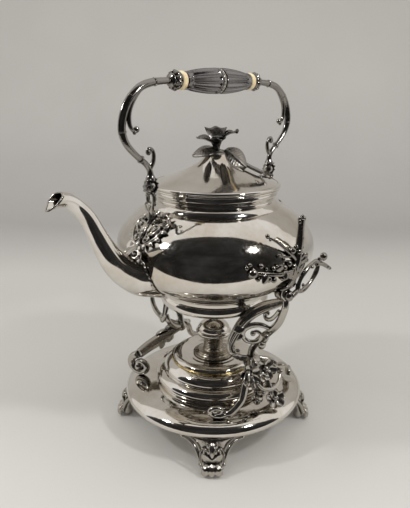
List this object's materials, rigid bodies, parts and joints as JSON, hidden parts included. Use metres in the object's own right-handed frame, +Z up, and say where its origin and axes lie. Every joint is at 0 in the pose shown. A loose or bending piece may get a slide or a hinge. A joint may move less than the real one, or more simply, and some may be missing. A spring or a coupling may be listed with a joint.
{
  "type": "spirit kettle on stand",
  "caption": "Tilting kettle with swing handle, swan-neck spout and hinged flower-finial lid, pivoted on scrolled brackets over a spirit lamp on a footed dished stand.",
  "frame": {"origin": "on the stand's vertical axis, in the plane of the table that the feet stand on", "axes": "+Z up; -Y towards the spout; +X and -X towards the brackets that carry the tilting pivots"},
  "size_m": [0.2374, 0.334, 0.42],
  "materials": {
    "silver_plate": "polished silver plate, slightly warm",
    "silver_oxidised": "cast silver plate, oxidised in the recesses",
    "finial_dark": "dark oxidised silver, satin",
    "grip_silver": "darkened silver, polished on the lobes",
    "ivory": "cream insulator, satin",
    "brass": "worn brass seat",
    "burner_metal": "smoke-darkened plate",
    "wick_cotton": "cotton",
    "steel": "plain"
  },
  "bodies": {
    "stand": {"base_plate": "silver_plate", "lamp_holder": "silver_plate", "foot_right_rear": "silver_oxidised", "foot_left_rear": "silver_oxidised", "foot_left_front": "silver_oxidised", "foot_right_front": "silver_oxidised", "bracket_left": "silver_oxidised", "bracket_right": "silver_oxidised", "flower_spray_left": "silver_oxidised", "flower_spray_right": "silver_oxidised", "bracket_nuts": "steel", "lamp_font": "silver_plate", "lamp_seat_ring": "brass", "wick_tube": "burner_metal", "burner_collar": "burner_metal", "wick": "wick_cotton"},
    "snuffer": {"snuffer_cap": "silver_plate"},
    "kettle": {"kettle_bottom": "silver_plate", "kettle_body": "silver_plate", "kettle_shoulder": "silver_plate", "kettle_crown": "silver_plate", "foot_ring": "silver_plate", "neck_ring": "silver_plate", "spout": "silver_plate", "body_hinge_leaf": "silver_plate", "pivot_lug_left": "silver_oxidised", "pivot_lug_right": "silver_oxidised", "twig_ornament_left": "silver_oxidised", "twig_ornament_right": "silver_oxidised", "handle_mount_front": "silver_oxidised", "handle_mount_rear": "silver_oxidised"},
    "lid": {"lid_shell": "silver_plate", "lid_rim": "silver_plate", "lid_bezel": "silver_plate", "lid_hinge_leaf": "silver_plate", "lid_hinge_pin": "steel", "finial_flower": "finial_dark", "finial_leaves": "silver_oxidised", "finial_nut": "steel"},
    "handle": {"handle_arm_front": "silver_oxidised", "handle_arm_rear": "silver_oxidised", "ferrule_front": "silver_oxidised", "ferrule_rear": "silver_oxidised", "ivory_ring_front": "ivory", "ivory_ring_rear": "ivory", "grip_half_front": "grip_silver", "grip_half_rear": "grip_silver", "handle_pin_front": "steel", "handle_pin_rear": "steel", "grip_band": "silver_oxidised", "handle_rod": "steel"},
    "pin_right": {"pivot_pin_right": "silver_oxidised"},
    "pin_left": {"pivot_pin_left": "silver_oxidised"}
  },
  "joints": [
    {"name": "kettle_tilt", "type": "hinge", "parent": "stand", "child": "kettle", "pos_m": [0, 0, 0.195], "axis": [-1, 0, 0], "range_deg": [-32, 0]},
    {"name": "handle_swing", "type": "hinge", "parent": "kettle", "child": "handle", "pos_m": [0, -0.0915, 0.3055], "axis": [0, 1, 0], "range_deg": [-80, 80]},
    {"name": "lid_hinge", "type": "hinge", "parent": "kettle", "child": "lid", "pos_m": [-0.076, 0, 0.293], "axis": [0, -1, 0], "range_deg": [0, 44]},
    {"name": "snuffer_lift", "type": "slide", "parent": "stand", "child": "snuffer", "axis": [0, 0, 1], "range_m": [0, 0.016]},
    {"name": "pin_right_pull", "type": "slide", "parent": "kettle", "child": "pin_right", "axis": [1, 0, 0], "range_m": [0, 0.014]},
    {"name": "pin_left_pull", "type": "slide", "parent": "kettle", "child": "pin_left", "axis": [-1, 0, 0], "range_m": [0, 0.014]}
  ]
}
